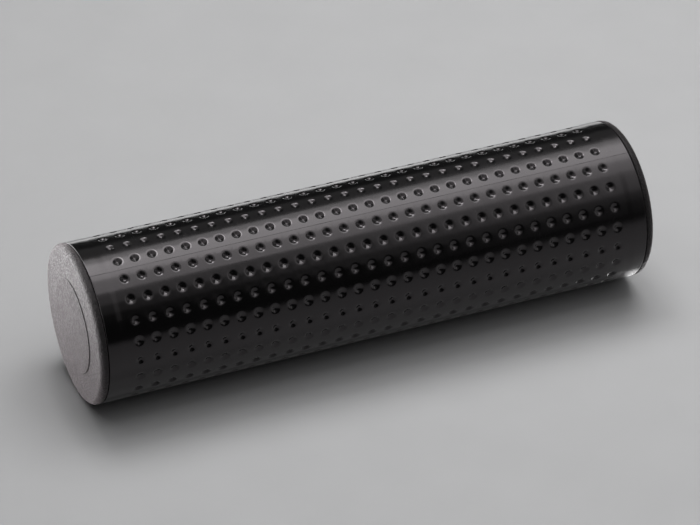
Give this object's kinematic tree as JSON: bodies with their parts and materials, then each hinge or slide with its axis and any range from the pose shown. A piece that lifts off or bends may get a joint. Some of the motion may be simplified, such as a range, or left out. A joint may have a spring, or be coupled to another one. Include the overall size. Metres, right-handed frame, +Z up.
{
  "type": "percussion shaker",
  "caption": "Hand-held tube shaker: a black metal tube pressed all over with dimples, a plug-in cap in each end and steel shot that rattles inside.",
  "frame": {"origin": "on the surface that the shaker lies on, under the middle of the tube", "axes": "+X along the tube towards the right end cap, +Z up, +Y to the far side of the picture"},
  "size_m": [0.2092, 0.057, 0.057],
  "materials": {
    "black_tube": "satin black, finely scratched",
    "black_cap": "fine sandy grain",
    "steel_shot": "bright, polished by use"
  },
  "bodies": {
    "shell": {"dimpled_tube": "black_tube", "left_end_cap": "black_cap", "right_end_cap": "black_cap"},
    "shot_front_01": {"shot_front_01": "steel_shot"},
    "shot_front_02": {"shot_front_02": "steel_shot"},
    "shot_front_03": {"shot_front_03": "steel_shot"},
    "shot_front_04": {"shot_front_04": "steel_shot"},
    "shot_front_05": {"shot_front_05": "steel_shot"},
    "shot_front_06": {"shot_front_06": "steel_shot"},
    "shot_front_07": {"shot_front_07": "steel_shot"},
    "shot_front_08": {"shot_front_08": "steel_shot"},
    "shot_front_09": {"shot_front_09": "steel_shot"},
    "shot_front_10": {"shot_front_10": "steel_shot"},
    "shot_front_11": {"shot_front_11": "steel_shot"},
    "shot_front_12": {"shot_front_12": "steel_shot"},
    "shot_front_13": {"shot_front_13": "steel_shot"},
    "shot_front_14": {"shot_front_14": "steel_shot"},
    "shot_front_15": {"shot_front_15": "steel_shot"},
    "shot_front_16": {"shot_front_16": "steel_shot"},
    "shot_middle_01": {"shot_middle_01": "steel_shot"},
    "shot_middle_02": {"shot_middle_02": "steel_shot"},
    "shot_middle_03": {"shot_middle_03": "steel_shot"},
    "shot_middle_04": {"shot_middle_04": "steel_shot"},
    "shot_middle_05": {"shot_middle_05": "steel_shot"},
    "shot_middle_06": {"shot_middle_06": "steel_shot"},
    "shot_middle_07": {"shot_middle_07": "steel_shot"},
    "shot_middle_08": {"shot_middle_08": "steel_shot"},
    "shot_middle_09": {"shot_middle_09": "steel_shot"},
    "shot_middle_10": {"shot_middle_10": "steel_shot"},
    "shot_middle_11": {"shot_middle_11": "steel_shot"},
    "shot_middle_12": {"shot_middle_12": "steel_shot"},
    "shot_middle_13": {"shot_middle_13": "steel_shot"},
    "shot_middle_14": {"shot_middle_14": "steel_shot"},
    "shot_middle_15": {"shot_middle_15": "steel_shot"},
    "shot_middle_16": {"shot_middle_16": "steel_shot"},
    "shot_back_01": {"shot_back_01": "steel_shot"},
    "shot_back_02": {"shot_back_02": "steel_shot"},
    "shot_back_03": {"shot_back_03": "steel_shot"},
    "shot_back_04": {"shot_back_04": "steel_shot"},
    "shot_back_05": {"shot_back_05": "steel_shot"},
    "shot_back_06": {"shot_back_06": "steel_shot"},
    "shot_back_07": {"shot_back_07": "steel_shot"},
    "shot_back_08": {"shot_back_08": "steel_shot"},
    "shot_back_09": {"shot_back_09": "steel_shot"},
    "shot_back_10": {"shot_back_10": "steel_shot"},
    "shot_back_11": {"shot_back_11": "steel_shot"},
    "shot_back_12": {"shot_back_12": "steel_shot"},
    "shot_back_13": {"shot_back_13": "steel_shot"},
    "shot_back_14": {"shot_back_14": "steel_shot"},
    "shot_back_15": {"shot_back_15": "steel_shot"},
    "shot_back_16": {"shot_back_16": "steel_shot"}
  },
  "joints": [
    {"name": "throw_front_01", "type": "slide", "parent": "shell", "child": "shot_front_01", "axis": [0, 0, 1], "range_m": [0, 0.0472]},
    {"name": "throw_front_02", "type": "slide", "parent": "shell", "child": "shot_front_02", "axis": [0, 0, 1], "range_m": [0, 0.0472]},
    {"name": "throw_front_03", "type": "slide", "parent": "shell", "child": "shot_front_03", "axis": [0, 0, 1], "range_m": [0, 0.0472]},
    {"name": "throw_front_04", "type": "slide", "parent": "shell", "child": "shot_front_04", "axis": [0, 0, 1], "range_m": [0, 0.0472]},
    {"name": "throw_front_05", "type": "slide", "parent": "shell", "child": "shot_front_05", "axis": [0, 0, 1], "range_m": [0, 0.0472]},
    {"name": "throw_front_06", "type": "slide", "parent": "shell", "child": "shot_front_06", "axis": [0, 0, 1], "range_m": [0, 0.0472]},
    {"name": "throw_front_07", "type": "slide", "parent": "shell", "child": "shot_front_07", "axis": [0, 0, 1], "range_m": [0, 0.0472]},
    {"name": "throw_front_08", "type": "slide", "parent": "shell", "child": "shot_front_08", "axis": [0, 0, 1], "range_m": [0, 0.0472]},
    {"name": "throw_front_09", "type": "slide", "parent": "shell", "child": "shot_front_09", "axis": [0, 0, 1], "range_m": [0, 0.0472]},
    {"name": "throw_front_10", "type": "slide", "parent": "shell", "child": "shot_front_10", "axis": [0, 0, 1], "range_m": [0, 0.0472]},
    {"name": "throw_front_11", "type": "slide", "parent": "shell", "child": "shot_front_11", "axis": [0, 0, 1], "range_m": [0, 0.0472]},
    {"name": "throw_front_12", "type": "slide", "parent": "shell", "child": "shot_front_12", "axis": [0, 0, 1], "range_m": [0, 0.0472]},
    {"name": "throw_front_13", "type": "slide", "parent": "shell", "child": "shot_front_13", "axis": [0, 0, 1], "range_m": [0, 0.0472]},
    {"name": "throw_front_14", "type": "slide", "parent": "shell", "child": "shot_front_14", "axis": [0, 0, 1], "range_m": [0, 0.0472]},
    {"name": "throw_front_15", "type": "slide", "parent": "shell", "child": "shot_front_15", "axis": [0, 0, 1], "range_m": [0, 0.0472]},
    {"name": "throw_front_16", "type": "slide", "parent": "shell", "child": "shot_front_16", "axis": [0, 0, 1], "range_m": [0, 0.0472]},
    {"name": "throw_middle_01", "type": "slide", "parent": "shell", "child": "shot_middle_01", "axis": [0, 0, 1], "range_m": [0, 0.0484]},
    {"name": "throw_middle_02", "type": "slide", "parent": "shell", "child": "shot_middle_02", "axis": [0, 0, 1], "range_m": [0, 0.0484]},
    {"name": "throw_middle_03", "type": "slide", "parent": "shell", "child": "shot_middle_03", "axis": [0, 0, 1], "range_m": [0, 0.0484]},
    {"name": "throw_middle_04", "type": "slide", "parent": "shell", "child": "shot_middle_04", "axis": [0, 0, 1], "range_m": [0, 0.0484]},
    {"name": "throw_middle_05", "type": "slide", "parent": "shell", "child": "shot_middle_05", "axis": [0, 0, 1], "range_m": [0, 0.0484]},
    {"name": "throw_middle_06", "type": "slide", "parent": "shell", "child": "shot_middle_06", "axis": [0, 0, 1], "range_m": [0, 0.0484]},
    {"name": "throw_middle_07", "type": "slide", "parent": "shell", "child": "shot_middle_07", "axis": [0, 0, 1], "range_m": [0, 0.0484]},
    {"name": "throw_middle_08", "type": "slide", "parent": "shell", "child": "shot_middle_08", "axis": [0, 0, 1], "range_m": [0, 0.0484]},
    {"name": "throw_middle_09", "type": "slide", "parent": "shell", "child": "shot_middle_09", "axis": [0, 0, 1], "range_m": [0, 0.0484]},
    {"name": "throw_middle_10", "type": "slide", "parent": "shell", "child": "shot_middle_10", "axis": [0, 0, 1], "range_m": [0, 0.0484]},
    {"name": "throw_middle_11", "type": "slide", "parent": "shell", "child": "shot_middle_11", "axis": [0, 0, 1], "range_m": [0, 0.0484]},
    {"name": "throw_middle_12", "type": "slide", "parent": "shell", "child": "shot_middle_12", "axis": [0, 0, 1], "range_m": [0, 0.0484]},
    {"name": "throw_middle_13", "type": "slide", "parent": "shell", "child": "shot_middle_13", "axis": [0, 0, 1], "range_m": [0, 0.0484]},
    {"name": "throw_middle_14", "type": "slide", "parent": "shell", "child": "shot_middle_14", "axis": [0, 0, 1], "range_m": [0, 0.0484]},
    {"name": "throw_middle_15", "type": "slide", "parent": "shell", "child": "shot_middle_15", "axis": [0, 0, 1], "range_m": [0, 0.0484]},
    {"name": "throw_middle_16", "type": "slide", "parent": "shell", "child": "shot_middle_16", "axis": [0, 0, 1], "range_m": [0, 0.0484]},
    {"name": "throw_back_01", "type": "slide", "parent": "shell", "child": "shot_back_01", "axis": [0, 0, 1], "range_m": [0, 0.0472]},
    {"name": "throw_back_02", "type": "slide", "parent": "shell", "child": "shot_back_02", "axis": [0, 0, 1], "range_m": [0, 0.0472]},
    {"name": "throw_back_03", "type": "slide", "parent": "shell", "child": "shot_back_03", "axis": [0, 0, 1], "range_m": [0, 0.0472]},
    {"name": "throw_back_04", "type": "slide", "parent": "shell", "child": "shot_back_04", "axis": [0, 0, 1], "range_m": [0, 0.0472]},
    {"name": "throw_back_05", "type": "slide", "parent": "shell", "child": "shot_back_05", "axis": [0, 0, 1], "range_m": [0, 0.0472]},
    {"name": "throw_back_06", "type": "slide", "parent": "shell", "child": "shot_back_06", "axis": [0, 0, 1], "range_m": [0, 0.0472]},
    {"name": "throw_back_07", "type": "slide", "parent": "shell", "child": "shot_back_07", "axis": [0, 0, 1], "range_m": [0, 0.0472]},
    {"name": "throw_back_08", "type": "slide", "parent": "shell", "child": "shot_back_08", "axis": [0, 0, 1], "range_m": [0, 0.0472]},
    {"name": "throw_back_09", "type": "slide", "parent": "shell", "child": "shot_back_09", "axis": [0, 0, 1], "range_m": [0, 0.0472]},
    {"name": "throw_back_10", "type": "slide", "parent": "shell", "child": "shot_back_10", "axis": [0, 0, 1], "range_m": [0, 0.0472]},
    {"name": "throw_back_11", "type": "slide", "parent": "shell", "child": "shot_back_11", "axis": [0, 0, 1], "range_m": [0, 0.0472]},
    {"name": "throw_back_12", "type": "slide", "parent": "shell", "child": "shot_back_12", "axis": [0, 0, 1], "range_m": [0, 0.0472]},
    {"name": "throw_back_13", "type": "slide", "parent": "shell", "child": "shot_back_13", "axis": [0, 0, 1], "range_m": [0, 0.0472]},
    {"name": "throw_back_14", "type": "slide", "parent": "shell", "child": "shot_back_14", "axis": [0, 0, 1], "range_m": [0, 0.0472]},
    {"name": "throw_back_15", "type": "slide", "parent": "shell", "child": "shot_back_15", "axis": [0, 0, 1], "range_m": [0, 0.0472]},
    {"name": "throw_back_16", "type": "slide", "parent": "shell", "child": "shot_back_16", "axis": [0, 0, 1], "range_m": [0, 0.0472]}
  ],
  "couplings": [
    {"joint": "throw_front_02", "follows": "throw_front_01", "ratio": 1},
    {"joint": "throw_front_03", "follows": "throw_front_01", "ratio": 1},
    {"joint": "throw_front_04", "follows": "throw_front_01", "ratio": 1},
    {"joint": "throw_front_05", "follows": "throw_front_01", "ratio": 1},
    {"joint": "throw_front_06", "follows": "throw_front_01", "ratio": 1},
    {"joint": "throw_front_07", "follows": "throw_front_01", "ratio": 1},
    {"joint": "throw_front_08", "follows": "throw_front_01", "ratio": 1},
    {"joint": "throw_front_09", "follows": "throw_front_01", "ratio": 1},
    {"joint": "throw_front_10", "follows": "throw_front_01", "ratio": 1},
    {"joint": "throw_front_11", "follows": "throw_front_01", "ratio": 1},
    {"joint": "throw_front_12", "follows": "throw_front_01", "ratio": 1},
    {"joint": "throw_front_13", "follows": "throw_front_01", "ratio": 1},
    {"joint": "throw_front_14", "follows": "throw_front_01", "ratio": 1},
    {"joint": "throw_front_15", "follows": "throw_front_01", "ratio": 1},
    {"joint": "throw_front_16", "follows": "throw_front_01", "ratio": 1},
    {"joint": "throw_middle_02", "follows": "throw_middle_01", "ratio": 1},
    {"joint": "throw_middle_03", "follows": "throw_middle_01", "ratio": 1},
    {"joint": "throw_middle_04", "follows": "throw_middle_01", "ratio": 1},
    {"joint": "throw_middle_05", "follows": "throw_middle_01", "ratio": 1},
    {"joint": "throw_middle_06", "follows": "throw_middle_01", "ratio": 1},
    {"joint": "throw_middle_07", "follows": "throw_middle_01", "ratio": 1},
    {"joint": "throw_middle_08", "follows": "throw_middle_01", "ratio": 1},
    {"joint": "throw_middle_09", "follows": "throw_middle_01", "ratio": 1},
    {"joint": "throw_middle_10", "follows": "throw_middle_01", "ratio": 1},
    {"joint": "throw_middle_11", "follows": "throw_middle_01", "ratio": 1},
    {"joint": "throw_middle_12", "follows": "throw_middle_01", "ratio": 1},
    {"joint": "throw_middle_13", "follows": "throw_middle_01", "ratio": 1},
    {"joint": "throw_middle_14", "follows": "throw_middle_01", "ratio": 1},
    {"joint": "throw_middle_15", "follows": "throw_middle_01", "ratio": 1},
    {"joint": "throw_middle_16", "follows": "throw_middle_01", "ratio": 1},
    {"joint": "throw_back_02", "follows": "throw_back_01", "ratio": 1},
    {"joint": "throw_back_03", "follows": "throw_back_01", "ratio": 1},
    {"joint": "throw_back_04", "follows": "throw_back_01", "ratio": 1},
    {"joint": "throw_back_05", "follows": "throw_back_01", "ratio": 1},
    {"joint": "throw_back_06", "follows": "throw_back_01", "ratio": 1},
    {"joint": "throw_back_07", "follows": "throw_back_01", "ratio": 1},
    {"joint": "throw_back_08", "follows": "throw_back_01", "ratio": 1},
    {"joint": "throw_back_09", "follows": "throw_back_01", "ratio": 1},
    {"joint": "throw_back_10", "follows": "throw_back_01", "ratio": 1},
    {"joint": "throw_back_11", "follows": "throw_back_01", "ratio": 1},
    {"joint": "throw_back_12", "follows": "throw_back_01", "ratio": 1},
    {"joint": "throw_back_13", "follows": "throw_back_01", "ratio": 1},
    {"joint": "throw_back_14", "follows": "throw_back_01", "ratio": 1},
    {"joint": "throw_back_15", "follows": "throw_back_01", "ratio": 1},
    {"joint": "throw_back_16", "follows": "throw_back_01", "ratio": 1}
  ]
}
